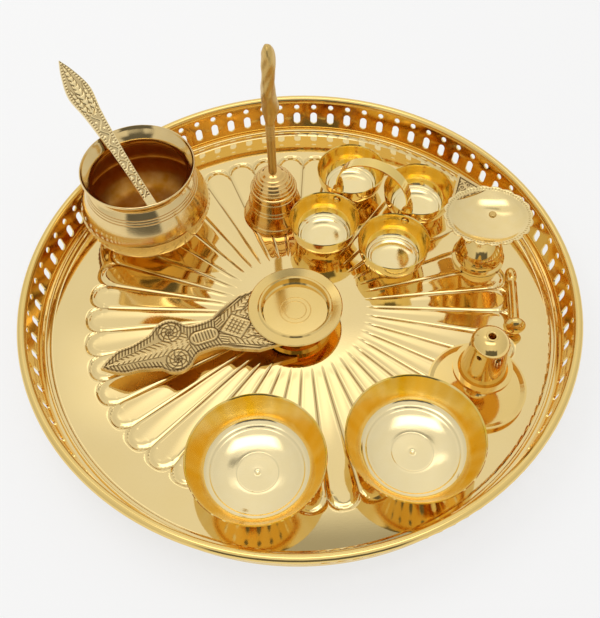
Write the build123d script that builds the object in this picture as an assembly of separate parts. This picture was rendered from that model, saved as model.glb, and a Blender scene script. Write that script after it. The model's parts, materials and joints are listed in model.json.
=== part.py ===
from build123d import *
import os
from math import asin, cos, degrees, hypot, radians, sin

# Puja thali: a round tray with a pierced gallery wall, and the loose ritual pieces that stand on it.
# Millimetres, +Z up, underside of the tray at z = 0, +Y away from the viewer.

# Tray
tray_radius = 150.0          # outside of the rolled rim
rim_height = 24.0            # rim top above the floor
floor_sheet = 1.2            # floor thickness
gallery_lean = 7.5           # the wall's foot stands in from the rim's outside by this
gallery_sheet = 1.0          # wall thickness
ledge_width = 5.6            # ledge that the gallery stands on, from the flat floor to the wall
ledge_height = 1.4           # ledge above the floor
ledge_bead = 0.9             # half-round line pressed along the ledge
rim_bead_radius = 2.4        # section of the rolled rim
rim_seat_drop = 1.9          # flat under the rolled rim, below its middle
rim_wire_radius = 1.3        # stiffening wire inside the rolled rim
rim_wire_gap = 0.2
pierced_pairs = 84           # slots round the wall, each with a round hole above it
gallery_strips = 4
first_slot_angle = 115.0     # degrees from +X
slot_length = 8.0
slot_width = 4.2
slot_height = 9.0            # middle of the slots above the floor
hole_radius = 1.65
hole_height = 16.8           # middle of the round holes above the floor

# Sunburst pressed in the floor
petals = 44
petal_inner_radius = 38.0
petal_margin = 18.3          # plain floor between the petals' tips and the ledge
petal_swirl = 3.1            # the petal edges run this far off the centre
petal_line_width = 0.9
petal_line_depth = 0.4
first_petal_angle = 222.5    # middle of one petal's tip, degrees

# The loose pieces are sized and placed for a tray of this radius, and grow or shrink with it
set_tray_radius = 150.0

# Water pot and its ladle
pot_at = (-87.2, 62.8)
pot_wall = 1.2
pot_foot_radius = 20.0
pot_joint_height = 24.5      # where the two halves meet
pot_joint_radius = 35.5      # outside of the lower half at the joint
pot_lip_radius = 32.0
pot_lip_height = 52.3
pot_lip_rise = 1.2           # rounded lip above the wall's edge
pot_ledge = 0.9              # the upper half stands out over the lower by this
pot_band_height = 2.6
pot_band_depth = 1.3
pot_band_beads = 64
pot_floor_height = 6.2       # inside
ladle_length = 118.0
ladle_sheet = 2.0
ladle_bowl_radius = 10.0
ladle_bowl_depth = 4.5
ladle_beyond_lip = 47.0      # from the lip to the leaf's point
ladle_azimuth = 129.4        # direction it leans towards, degrees from +X
ladle_slope = 37.8
ladle_lip_gap = 0.3

# Hand bell
bell_at = (-13.2, 72.5)
bell_mouth_radius = 19.0
bell_wall = 1.8
bell_crown_radius = 5.2
bell_crown_top = 35.4
bell_crown_bottom = 32.0
bell_rod_radius = 2.4
bell_rod_top = 76.0
bell_finial_top = 123.2
bell_tang_radius = 1.6
bell_tang_gap = 0.1
bell_tang_length = 7.6
bell_yoke_radius = 3.4
bell_yoke_bottom = 22.0
bell_fork_gap = 2.4
bell_fork_height = 5.2
bell_pin_height = 24.2
bell_pin_radius = 0.9
bell_pin_running_gap = 0.06
bell_clapper_eye = 2.2
bell_clapper_sheet = 2.0
bell_clapper_rod = 1.2
bell_clapper_ball = 3.6
bell_clapper_ball_height = 7.4

# Four-cup holder
cups_at = (44.0, 61.05)
cups_turn = -24.7
cup_pitch = 42.6
cup_radius = 20.4
cup_height = 18.6
cup_foot_radius = 12.4
cup_wall = 0.9
cup_floor = 1.1
cup_rim_rise = 0.9
strap_width = 6.4
strap_sheet = 0.8
strap_leg_bottom = 9.0
strap_twist_start = 20.0
strap_apex = 50.5
cup_rivet_height = 14.5
cup_rivet_radius = 1.2
cup_rivet_gap = 0.1
cup_rivet_head_radius = 2.2
cup_rivet_head_height = 1.0

# Camphor dish
dish_at = (-2.3, -5.5)
dish_radius = 25.9
dish_height = 12.0
dish_rim_underside = 10.6
dish_well_radius = 18.4
dish_well_floor = 7.4
dish_sheet = 1.0
dish_foot_radius = 17.0
dish_handle_azimuth = 199.0
dish_handle_length = 108.4
dish_handle_sheet = 2.6
dish_handle_inner_radius = 20.6
engraving_width = 0.7
engraving_depth = 0.4

# Oil lamp
lamp_at = (104.8, 34.0)
lamp_bowl_length = 46.4      # across, along X, without the scallops
lamp_bowl_width = 40.6       # along Y
lamp_bowl_shift = (-0.6, -1.8)  # middle of the border from the foot's axis
lamp_border_height = 38.2    # underside of the scalloped border
lamp_border_sheet = 0.9
lamp_scallops = 20
lamp_scallop_radius = 7.0
lamp_scallop_rise = 1.1
lamp_bowl_bottom = 32.0
lamp_sheet = 1.0
lamp_foot_radius = 15.0
lamp_stem_radius = 3.6
lamp_tab_azimuth = 110.6
lamp_tab_reach = 34.4        # from the border's middle to the tab's point
lamp_tab_left = 17.0         # half-widths of the tab where it meets the bowl
lamp_tab_right = 10.5
lamp_tab_sheet = 1.4
lamp_tab_gap = 0.3
lamp_rivet_at = (3.4, 3.2)   # from the foot's axis
lamp_rivet_radius = 1.2
lamp_rivet_gap = 0.1
lamp_rivet_head_radius = 2.1
lamp_rivet_length = 3.2
lamp_flange_radius = 7.8     # top of the stem, under the bowl

# Incense holder
incense_at = (91.4, -52.8)
incense_plate_radius = 25.6
incense_plate_sheet = 1.0
incense_plate_height = 3.2
incense_stem_radius = 4.2
incense_flange_radius = 15.0
incense_flange_width = 2.4
incense_flange_height = 20.0
incense_skirt_radius = 11.8
incense_shoulder_radius = 9.0
incense_shoulder_height = 44.0
incense_sheet = 1.0
incense_side_holes = 6
incense_first_hole = 49.0    # degrees from +X
incense_side_hole_radius = 1.4
incense_cap_height = 6.6
incense_stick_hole_radius = 1.8

# Offering bowls
bowl_left_at = (-22.8, -97.7)
bowl_right_at = (54.3, -89.2)
bowl_radius = 34.2
bowl_height = 20.6
bowl_foot_radius = 23.6
bowl_wall = 1.0
bowl_floor = 1.4
bowl_rim_rise = 1.0

# Turned stick
stick_ball_at = (116.0, -18.9)
stick_bead_at = (120.4, 16.6)
stick_ball_radius = 6.0
stick_ball_length = 7.2      # the ball is flattened along the stick
stick_shaft_radius = 3.0
stick_bead_radius = 3.3
stick_bead_length = 9.4
stick_neck_radius = 1.9
stick_floor_gap = 0.3

# Sizes that follow from the tray
deck = floor_sheet
gallery_foot_radius = tray_radius - gallery_lean
floor_radius = gallery_foot_radius - ledge_width
petal_tip_radius = floor_radius - petal_margin
set_share = tray_radius / set_tray_radius
ledge_top = deck + ledge_height
rim_middle = deck + rim_height - rim_bead_radius
rim_ring_radius = tray_radius - rim_bead_radius
gallery_top = rim_middle - rim_seat_drop
gallery_top_radius = rim_ring_radius - 1.3 * gallery_sheet
ledge_outer_radius = gallery_foot_radius + 1.4 * gallery_sheet


def turned(outline):
    """Solid turned about Z from a closed outline of edges drawn as (radius, height)."""
    return revolve(Plane.XZ * make_face(outline), Axis.Z)


def ring(radius, height, section):
    """Round ring of a round section."""
    return Pos(0, 0, height) * Torus(radius, section)


def parallel(points, distance):
    """Points moved sideways by a distance, to the left of their path; the two ends move level."""
    moved = [(points[0][0] - distance, points[0][1])]
    for before, here, after in zip(points, points[1:], points[2:]):
        along = (after[0] - before[0], after[1] - before[1])
        length = hypot(*along)
        moved.append((here[0] - distance * along[1] / length, here[1] + distance * along[0] / length))
    moved.append((points[-1][0] - distance, points[-1][1]))
    return moved


def rim_arc(outer, inner, rise):
    """Rounded rim between the outer and inner edges of a wall."""
    return ThreePointArc(outer, ((outer[0] + inner[0]) / 2, outer[1] + rise), inner)


def skin(points, wall, rise):
    """Turned sheet with both ends open, smooth through its outside points from bottom to rim."""
    inside = parallel(points, wall)
    outline = Spline(*points) + rim_arc(points[-1], inside[-1], rise)
    outline += Spline(*inside) + Line(inside[0], points[0])
    return turned(outline)


def vessel(points, wall, floor, rise):
    """Turned cup with a flat foot: outside points run from the foot's edge up to the rim."""
    inside = parallel(points, wall)[1:]
    corner = (points[0][0] - wall, floor)
    outline = Spline(*points) + rim_arc(points[-1], inside[-1], rise) + Spline(*inside[::-1], corner)
    outline += Polyline(corner, (0, floor), (0, 0), points[0])
    return turned(outline)


def on_tray(piece, place):
    """Piece in proportion to the tray, moved from the origin to its place on the floor."""
    return Pos(set_share * place[0], set_share * place[1], deck) * piece.scale(set_share)


# Ledge ring round the floor's edge: rounded inside corner, and a half-round line along its top.
ledge_inner = floor_radius + ledge_height
ledge_outline = Polyline(
    (floor_radius, deck),
    (ledge_outer_radius, deck),
    (ledge_outer_radius, ledge_top),
    (ledge_inner, ledge_top),
)
ledge_outline += RadiusArc((ledge_inner, ledge_top), (floor_radius, deck), ledge_height)
tray_ledge = turned(ledge_outline)
ledge_line_radius = (ledge_inner + gallery_foot_radius) / 2
tray_ledge += ring(ledge_line_radius, ledge_top, ledge_bead)

# Tray floor: a flat disc cut by the lines of the sunburst.
tray_floor = Pos(0, 0, deck / 2) * Cylinder(ledge_outer_radius, deck)
petal_pitch = 360 / petals
tip_centre_radius = petal_tip_radius / (1 + sin(radians(petal_pitch / 2)))
tip_radius = tip_centre_radius * sin(radians(petal_pitch / 2))
tip_turn = degrees(asin(petal_swirl / tip_centre_radius))
line_length = tip_centre_radius - petal_inner_radius
petal_line = Pos((tip_centre_radius + petal_inner_radius) / 2, petal_swirl)
petal_line *= Rectangle(line_length, petal_line_width)
half_line = petal_line_width / 2
tip_line = Circle(tip_radius + half_line) - Circle(tip_radius - half_line)
tip_line -= Pos(-tip_radius, 0) * Rectangle(2 * tip_radius, 3 * tip_radius)
tip_line = Pos(tip_centre_radius, 0) * tip_line
sunburst = Sketch()
for petal in range(petals):
    middle = first_petal_angle + petal * petal_pitch
    sunburst += Rot(0, 0, middle) * tip_line
    sunburst += Rot(0, 0, middle - petal_pitch / 2 - tip_turn) * petal_line
tray_floor -= extrude(Pos(0, 0, deck - petal_line_depth) * sunburst, amount=2 * petal_line_depth)

# Gallery: one strip is turned through its share of the circle and pierced, then set round the tray.
strip_angle = 360 / gallery_strips
strip_outline = Polyline(
    (gallery_foot_radius, ledge_top),
    (gallery_foot_radius + gallery_sheet, ledge_top),
    (gallery_top_radius + gallery_sheet, gallery_top),
    (gallery_top_radius, gallery_top),
    close=True,
)
gallery_strip = revolve(Plane.XZ * make_face(strip_outline), Axis.Z, revolution_arc=strip_angle)
pierce_depth = 5 * gallery_sheet
slot = Pos(gallery_foot_radius, 0, deck + slot_height) * Rot(0, 90, 0)
slot *= extrude(SlotOverall(slot_length, slot_width), amount=pierce_depth, both=True)
hole = Pos(gallery_top_radius, 0, deck + hole_height) * Rot(0, 90, 0)
hole *= Cylinder(hole_radius, 2 * pierce_depth)
pair_pitch = 360 / pierced_pairs
pairs_per_strip = pierced_pairs // gallery_strips
piercings = []
for pair in range(pairs_per_strip):
    turn = Rot(0, 0, (pair + 0.5) * pair_pitch)
    piercings.append(turn * slot)
    piercings.append(turn * hole)
gallery_strip -= piercings
first_seam = first_slot_angle + pair_pitch / 2 - strip_angle
strip_names = ("back", "left", "front", "right")
gallery = {}
for order, side in enumerate(strip_names):
    gallery["gallery_strip_" + side] = Rot(0, 0, first_seam + order * strip_angle) * gallery_strip

# Rolled rim, with a flat that sits on the strips, and the wire inside it.
rim_section = Circle(rim_bead_radius) - Circle(rim_wire_radius + rim_wire_gap)
rim_section -= Pos(0, -rim_seat_drop - rim_bead_radius) * Rectangle(2 * tray_radius, 2 * rim_bead_radius)
rim_bead = revolve(Plane.XZ * Pos(rim_ring_radius, rim_middle) * rim_section, Axis.Z)
rim_wire = ring(rim_ring_radius, rim_middle, rim_wire_radius)

# Water pot: lower half with its foot.
foot_step = pot_foot_radius - 3.0
foot_waist = (pot_foot_radius - 2.4, 4.2)
lower_wall = [foot_waist, (27.0, 7.4), (33.2, 13.0), (35.2, 18.5), (pot_joint_radius, pot_joint_height)]
lower_inside = [(14.0, pot_floor_height), (25.6, 8.6), (31.9, 13.8), (34.0, 18.8)]
lower_inside.append((pot_joint_radius - pot_wall, pot_joint_height))
pot_outline = Polyline(
    (0, pot_floor_height),
    (0, 1.5),
    (foot_step, 1.5),
    (foot_step, 0),
    (pot_foot_radius, 0),
    (pot_foot_radius, 1.8),
    foot_waist,
)
pot_outline += Spline(*lower_wall)
pot_outline += Line(lower_wall[-1], lower_inside[-1])
pot_outline += Spline(*lower_inside[::-1])
pot_outline += Line(lower_inside[0], (0, pot_floor_height))
pot_lower = turned(pot_outline)

# Water pot: shoulder, neck and flared lip, with lines turned round the shoulder.
shoulder_lines = [(31.4, 37.8), (30.7, 39.3), (30.0, 40.6)]
upper_wall = [
    (pot_joint_radius + pot_ledge, pot_joint_height),
    (36.2, 26.6),
    (34.4, 31.4),
    *shoulder_lines,
    (28.2, 43.4),
    (27.5, 45.4),
    (28.6, 48.4),
    (pot_lip_radius, pot_lip_height),
]
pot_upper = skin(upper_wall, pot_wall, pot_lip_rise)
for radius, height in shoulder_lines:
    pot_upper -= ring(radius, height, 0.35)

# Water pot: beaded band under the upper half's ledge.
band_inner = pot_joint_radius + 0.25
band_outer = band_inner + pot_band_depth
pot_band = Cylinder(band_outer, pot_band_height) - Cylinder(band_inner, pot_band_height)
bead_gaps = PolarLocations(band_outer + 0.3, pot_band_beads)
pot_band -= [place * Cylinder(0.75, pot_band_height) for place in bead_gaps]
pot_band = Pos(0, 0, pot_joint_height - pot_band_height / 2) * pot_band

# Ladle: drawn flat along X with its bowl at the origin end, then leaned on the pot's lip.
leaf_edge = Spline(
    (1.6 * ladle_bowl_radius, 2.8),
    (0.40 * ladle_length, 2.6),
    (0.60 * ladle_length, 4.0),
    (0.72 * ladle_length, 5.2),
    (0.83 * ladle_length, 7.0),
    (0.93 * ladle_length, 3.9),
    (ladle_length, 0),
)
leaf_base = Line((1.6 * ladle_bowl_radius, 2.8), (1.6 * ladle_bowl_radius, -2.8))
ladle = extrude(make_face(leaf_edge + mirror(leaf_edge, about=Plane.XZ) + leaf_base), amount=ladle_sheet)
bowl_wall_points = [
    (0.45 * ladle_bowl_radius, 0),
    (0.86 * ladle_bowl_radius, 0.45 * ladle_bowl_depth),
    (ladle_bowl_radius, ladle_bowl_depth),
]
ladle += Pos(ladle_bowl_radius, 0, 0) * vessel(bowl_wall_points, 1.0, 1.0, 0.5)
vein_cut = extrude(Rectangle(0.26 * ladle_length, engraving_width), amount=2 * engraving_depth)
ladle -= Pos(0.82 * ladle_length, 0, ladle_sheet - engraving_depth) * vein_cut
vein_length = 5.0
side_vein = extrude(Rectangle(vein_length, engraving_width), amount=2 * engraving_depth)
for vein in range(5):
    for side in (1, -1):
        place = Pos((0.72 + 0.045 * vein) * ladle_length, 0, ladle_sheet - engraving_depth)
        ladle -= place * Rot(0, 0, 40 * side) * Pos(vein_length / 2, 0, 0) * side_vein
ladle_at_lip = ladle_length - ladle_beyond_lip
lip_section = (pot_wall ** 2 / 4 + pot_lip_rise ** 2) / (2 * pot_lip_rise)
lip_middle = Pos(pot_lip_radius - pot_wall / 2, 0, pot_lip_height + pot_lip_rise - lip_section)
ladle_pose = Rot(0, 0, ladle_azimuth) * lip_middle * Rot(0, -ladle_slope, 0)
ladle = ladle_pose * Pos(-ladle_at_lip, 0, lip_section + ladle_lip_gap) * ladle

# Bell body: turned skin, rings round it, and a crown pierced for the handle.
bell_wall_points = [
    (bell_mouth_radius, 0),
    (bell_mouth_radius - 1.0, 2.2),
    (16.1, 7.5),
    (14.7, 13.0),
    (13.6, 18.5),
    (12.9, 22.6),
    (11.9, 26.0),
    (9.4, 30.6),
    (bell_crown_radius, 34.6),
]
bell_body = skin(bell_wall_points, bell_wall, 0.4)
crown_height = bell_crown_top - bell_crown_bottom
crown = Pos(0, 0, bell_crown_bottom + crown_height / 2) * Cylinder(bell_crown_radius, crown_height)
bell_body += crown
bell_body += ring(12.9, 22.8, 0.8)
bell_body += ring(13.5, 19.4, 0.4)
bell_body += ring(14.6, 13.4, 0.45)
bell_body += ring(15.1, 11.0, 0.45)
bell_body += ring(9.4, 30.6, 0.5)
tang_bore = bell_tang_radius + bell_tang_gap
bell_body -= Pos(0, 0, bell_crown_top) * Cylinder(tang_bore, 4 * crown_height)

# Bell handle: rod, cast finial, and the end that passes through the crown.
rod_length = bell_rod_top - bell_crown_top
bell_handle = Pos(0, 0, bell_crown_top + rod_length / 2) * Cylinder(bell_rod_radius, rod_length)
finial_sections = Sketch()
finial_height = bell_finial_top - bell_rod_top
for share, across, deep in (
    (0.0, 2.4, 2.4),
    (0.10, 4.2, 5.0),
    (0.26, 3.5, 6.2),
    (0.42, 4.5, 7.0),
    (0.62, 3.8, 6.4),
    (0.84, 3.5, 4.6),
    (1.0, 1.6, 2.0),
):
    finial_sections += Pos(0, 0, bell_rod_top + share * finial_height) * Ellipse(across, deep)
bell_handle += loft(finial_sections.faces())
tang_middle = bell_crown_top - bell_tang_length / 2
bell_handle += Pos(0, 0, tang_middle) * Cylinder(bell_tang_radius, bell_tang_length)

# Bell yoke: fork screwed on the rod's end, with its pin.
yoke_height = bell_crown_bottom - bell_yoke_bottom
bell_yoke = Pos(0, 0, bell_yoke_bottom + yoke_height / 2) * Cylinder(bell_yoke_radius, yoke_height)
fork = Box(bell_fork_gap, 3 * bell_yoke_radius, 2 * bell_fork_height)
bell_yoke -= Pos(0, 0, bell_yoke_bottom) * fork
pin_place = Pos(0, 0, bell_pin_height) * Rot(0, 90, 0)
bell_yoke -= pin_place * Cylinder(bell_pin_radius, 4 * bell_yoke_radius)
yoke_bore_depth = bell_tang_length - crown_height + bell_tang_gap
bell_yoke -= Pos(0, 0, bell_crown_bottom) * Cylinder(tang_bore, 2 * yoke_bore_depth)
bell_pin = pin_place * Cylinder(bell_pin_radius, 2 * bell_yoke_radius - 0.6)

# Clapper: flat eye on the pin, rod and ball.
eye = pin_place * Cylinder(bell_clapper_eye, bell_clapper_sheet)
shank_length = bell_pin_height - bell_clapper_ball_height
shank = Pos(0, 0, bell_clapper_ball_height + shank_length / 2)
shank *= Cylinder(bell_clapper_rod, shank_length)
ball = Pos(0, 0, bell_clapper_ball_height) * Sphere(bell_clapper_ball)
shank &= Box(bell_clapper_sheet, 4 * bell_clapper_eye, 4 * bell_pin_height)
bell_clapper = eye + shank + ball
bell_clapper -= pin_place * Cylinder(bell_pin_radius + bell_pin_running_gap, 4 * bell_yoke_radius)

# Cups: one cup is turned, drilled at its rivet and set at the corners of a square.
cup_wall_points = [
    (cup_foot_radius, 0),
    (15.4, 2.8),
    (18.3, 8.0),
    (19.7, 12.0),
    (cup_radius, cup_height - cup_rim_rise),
]
cup = vessel(cup_wall_points, cup_wall, cup_floor, cup_rim_rise)
cup -= ring(0.7 * cup_foot_radius, cup_floor, 0.3)
half_pitch = cup_pitch / 2
rivet_bore = Pos(0, half_pitch, cup_rivet_height) * Rot(90, 0, 0)
rivet_bore *= Cylinder(cup_rivet_radius + cup_rivet_gap, half_pitch)
front_cup = cup - rivet_bore
back_cup = Rot(0, 0, 180) * front_cup
cup_front_left = Pos(-half_pitch, -half_pitch, 0) * front_cup
cup_front_right = Pos(half_pitch, -half_pitch, 0) * front_cup
cup_back_left = Pos(-half_pitch, half_pitch, 0) * back_cup
cup_back_right = Pos(half_pitch, half_pitch, 0) * back_cup

# Strap: two flat legs between the cups, a quarter twist in each, and a half-round arch.
arch_radius = half_pitch
arch_middle = strap_apex - arch_radius
arch_section = Pos(arch_radius, 0, 0) * Rectangle(strap_sheet, strap_width)
arch = revolve(arch_section, Axis.Y, revolution_arc=-180)
cup_strap = Pos(0, 0, arch_middle) * arch
leg_height = strap_twist_start - strap_leg_bottom
twist_height = arch_middle - strap_twist_start
for side in (-1, 1):
    leg = Pos(side * half_pitch, 0, strap_leg_bottom + leg_height / 2)
    leg *= Box(strap_width, strap_sheet, leg_height)
    sections = []
    for step in range(5):
        place = Pos(side * half_pitch, 0, strap_twist_start + twist_height * step / 4)
        sections.append(place * Rot(0, 0, 22.5 * step) * Rectangle(strap_width, strap_sheet))
    cup_strap += leg
    cup_strap += loft(sections)
    strap_bore = Pos(side * half_pitch, 0, cup_rivet_height) * Rot(90, 0, 0)
    strap_bore *= Cylinder(cup_rivet_radius + cup_rivet_gap, strap_width)
    cup_strap -= strap_bore

# Rivets: a shank with a domed head inside each of the two cups that it joins.
head_face = half_pitch - cup_radius + 2 * cup_wall
rivet = Cylinder(cup_rivet_radius, 2 * head_face)
head_cut = Box(4 * cup_rivet_head_radius, 4 * cup_rivet_head_radius, 2 * cup_rivet_head_radius)
dome = Sphere(cup_rivet_head_radius) - Pos(0, 0, -cup_rivet_head_radius) * head_cut
dome = scale(dome, by=(1, 1, cup_rivet_head_height / cup_rivet_head_radius))
rivet += Pos(0, 0, head_face) * dome
rivet += Rot(180, 0, 0) * Pos(0, 0, head_face) * dome
rivet = Pos(0, 0, cup_rivet_height) * Rot(90, 0, 0) * rivet
cup_rivets = Pos(-half_pitch, 0, 0) * rivet + Pos(half_pitch, 0, 0) * rivet

# Camphor dish: broad rim, well with turned rings, and a spool foot.
well_outer = dish_well_radius + dish_sheet
dish_outline = Polyline(
    (0, dish_well_floor),
    (0, dish_well_floor - dish_sheet),
    (dish_well_radius - 0.6, dish_well_floor - dish_sheet),
    (well_outer, dish_well_floor + 0.4),
    (well_outer + 0.6, dish_rim_underside),
    (dish_radius - 0.7, dish_rim_underside),
    (dish_radius, dish_rim_underside + 0.6),
    (dish_radius, dish_height - 0.4),
    (dish_radius - 0.5, dish_height),
    (well_outer + 1.2, dish_height - 0.8),
    (well_outer + 0.4, dish_height - 0.1),
    (dish_well_radius + 0.4, dish_height - 0.3),
    (dish_well_radius, dish_well_floor + 0.8),
    (dish_well_radius - 0.8, dish_well_floor),
    close=True,
)
dish_pan = turned(dish_outline)
for radius in (6.0, 8.5):
    dish_pan -= ring(radius, dish_well_floor, 0.3)
spool_top = dish_well_floor - dish_sheet
spool_outline = Polyline((0, spool_top), (0, 0), (dish_foot_radius, 0), (dish_foot_radius, 1.2))
spool_outline += Spline((dish_foot_radius, 1.2), (9.5, 3.4), (14.0, spool_top))
spool_outline += Line((14.0, spool_top), (0, spool_top))
dish_foot = turned(spool_outline)

# Dish handle: half its wavy edge is drawn along X and mirrored, then the ornament is cut in.
handle_edge = Spline(
    (10.0, 20.0),
    (26.0, 19.4),
    (37.0, 14.4),
    (46.0, 9.7),
    (56.0, 9.5),
    (61.5, 12.6),
    (69.0, 17.0),
    (77.0, 14.6),
    (84.0, 11.2),
    (90.0, 8.3),
    (97.0, 7.7),
    (103.0, 4.1),
    (dish_handle_length, 0),
)
handle_base = Line((10.0, 20.0), (10.0, -20.0))
handle_face = make_face(handle_edge + mirror(handle_edge, about=Plane.XZ) + handle_base)
handle_face -= Circle(dish_handle_inner_radius)
dish_handle = extrude(handle_face, amount=dish_handle_sheet)
ornament = Pos(84.0, 0) * Rectangle(40.0, engraving_width)
for vein in range(6):
    for side in (1, -1):
        vein_line = Pos(4.5, 0) * Rectangle(9.0 - 0.8 * vein, engraving_width)
        ornament += Pos(66.0 + 6.0 * vein, 0) * Rot(0, 0, 38 * side) * vein_line
ornament += Pos(52.0, 0) * (SlotOverall(13.0, 6.0) - SlotOverall(13.0 - 2 * engraving_width, 4.6))
for bar in range(5):
    ornament += Pos(48.0 + 2.0 * bar, 0) * Rectangle(engraving_width, 3.2)
for hatch in range(7):
    for side in (1, -1):
        ornament += Pos(30.0 + 2.2 * hatch, side * (11.5 - 0.9 * hatch)) * Rectangle(engraving_width, 5.0)
for ray in range(-2, 3):
    ornament += Rot(0, 0, 14 * ray) * Pos(33.0, 0) * Rectangle(7.0, engraving_width)
for side in (1, -1):
    ornament += Pos(68.5, 9.5 * side) * (Circle(4.6) - Circle(4.6 - engraving_width))
    ornament += Pos(68.5, 9.5 * side) * Circle(1.6)
groove_floor = dish_handle_sheet - engraving_depth
dish_handle -= extrude(Pos(0, 0, groove_floor) * ornament, amount=2 * engraving_depth)
handle_bottom = dish_rim_underside - dish_handle_sheet
dish_handle = Rot(0, 0, dish_handle_azimuth) * Pos(0, 0, handle_bottom) * dish_handle

# Oil lamp bowl: lofted oval skin with a scalloped border.
half_length = lamp_bowl_length / 2
half_width = lamp_bowl_width / 2


def oval(share, level, height, inset=0.0):
    """Oval section of the lamp's bowl: a share of its full size, shifted with its level."""
    place = Pos(level * lamp_bowl_shift[0], level * lamp_bowl_shift[1], height)
    return place * Ellipse(share * half_length - inset, share * half_width - inset)


border_top = lamp_border_height + lamp_border_sheet
bowl_depth = border_top - lamp_bowl_bottom
shares = ((0.42, 0.0), (0.72, 0.26), (0.90, 0.66), (0.96, 1.0))
outer_skin = loft([oval(share, level, lamp_bowl_bottom + level * bowl_depth) for share, level in shares])
inner_floor = lamp_bowl_bottom + lamp_sheet
inner_depth = border_top - inner_floor
inner_skin = loft(
    [oval(share, level, inner_floor + level * inner_depth, lamp_sheet) for share, level in shares]
)
border = Ellipse(half_length, half_width)
lobe_inset = lamp_scallop_radius - lamp_scallop_rise
for scallop in range(lamp_scallops):
    turn = radians(scallop * 360 / lamp_scallops)
    lobe = Pos((half_length - lobe_inset) * cos(turn), (half_width - lobe_inset) * sin(turn))
    border += lobe * Circle(lamp_scallop_radius)
border_middle = Pos(lamp_bowl_shift[0], lamp_bowl_shift[1], lamp_border_height)
lamp_bowl = outer_skin + extrude(border_middle * border, amount=lamp_border_sheet) - inner_skin
rivet_hole = lamp_rivet_radius + lamp_rivet_gap
rivet_place = Pos(lamp_rivet_at[0], lamp_rivet_at[1], lamp_bowl_bottom)
lamp_bowl -= rivet_place * Cylinder(rivet_hole, 4 * lamp_sheet)

# Oil lamp tab: a pointed plate under the border, with a line along its edges and slanting engraving.
tab_root = 13.0
tab_corners = ((tab_root, lamp_tab_left), (lamp_tab_reach, 0), (tab_root, -lamp_tab_right))
tab_face = make_face(Polyline(*tab_corners, close=True))
tab_face = fillet(tab_face.vertices().sort_by(Axis.X)[-1], 1.2)
tab_line = offset(tab_face, amount=-1.6) - offset(tab_face, amount=-1.6 - engraving_width)
for line in range(5):
    for slant in (35, -35):
        bar = Pos(19.5 + 2.2 * line, 1.2) * Rot(0, 0, slant) * Rectangle(engraving_width, 4.4 - 0.5 * line)
        tab_line += bar
bowl_clear = Ellipse(0.97 * half_length + lamp_tab_gap, 0.97 * half_width + lamp_tab_gap)
tab_turn = Rot(0, 0, lamp_tab_azimuth)
tab_face = tab_turn * tab_face - bowl_clear
lamp_tab = extrude(border_middle * Pos(0, 0, -lamp_tab_sheet) * tab_face, amount=lamp_tab_sheet)
tab_cut = border_middle * Pos(0, 0, -engraving_depth) * tab_turn * tab_line
lamp_tab -= extrude(tab_cut, amount=2 * engraving_depth)

# Oil lamp foot: domed foot and stem, with the bore for the rivet.
foot_outline = Polyline(
    (0, lamp_bowl_bottom),
    (0, 0),
    (lamp_foot_radius, 0),
    (lamp_foot_radius, 1.4),
    (lamp_foot_radius - 1.6, 2.0),
)
flange_bottom = lamp_bowl_bottom - lamp_rivet_length
foot_outline += Spline(
    (lamp_foot_radius - 1.6, 2.0),
    (13.6, 5.0),
    (12.2, 10.0),
    (8.6, 15.0),
    (lamp_stem_radius, 20.0),
    (lamp_stem_radius, 24.0),
    (lamp_flange_radius, flange_bottom),
)
foot_outline += Polyline(
    (lamp_flange_radius, flange_bottom),
    (lamp_flange_radius, lamp_bowl_bottom),
    (0, lamp_bowl_bottom),
)
lamp_foot = turned(foot_outline)
lamp_foot -= rivet_place * Cylinder(rivet_hole, 2 * lamp_rivet_length)
rivet_shank = lamp_rivet_length + lamp_sheet - lamp_rivet_gap
lamp_rivet = Pos(0, 0, lamp_sheet - rivet_shank / 2) * Cylinder(lamp_rivet_radius, rivet_shank)
lamp_head = Cylinder(lamp_rivet_head_radius, 1.2)
lamp_head = fillet(lamp_head.edges().sort_by(Axis.Z)[-1], 0.9)
lamp_rivet += Pos(0, 0, lamp_sheet + 0.6) * lamp_head
lamp_rivet = rivet_place * lamp_rivet

# Incense holder: ash plate on a low foot ring, and a spool stem.
plate_outline = Polyline(
    (0, 2 * incense_plate_sheet),
    (0, incense_plate_sheet),
    (20.0, incense_plate_sheet),
    (20.6, 0),
    (23.0, 0),
    (23.6, incense_plate_sheet),
    (incense_plate_radius, incense_plate_height - incense_plate_sheet),
    (incense_plate_radius, incense_plate_height),
    (incense_plate_radius - 1.0, incense_plate_height),
    (22.6, 2 * incense_plate_sheet),
    close=True,
)
incense_plate = turned(plate_outline)
stem_bottom = 2 * incense_plate_sheet
stem_outline = Polyline(
    (0, incense_flange_height),
    (0, stem_bottom),
    (7.0, stem_bottom),
    (7.0, stem_bottom + 1.0),
)
stem_outline += Spline(
    (7.0, stem_bottom + 1.0),
    (incense_stem_radius, 6.5),
    (incense_stem_radius, 15.0),
    (7.0, incense_flange_height),
)
stem_outline += Line((7.0, incense_flange_height), (0, incense_flange_height))
incense_stem = turned(stem_outline)

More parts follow.
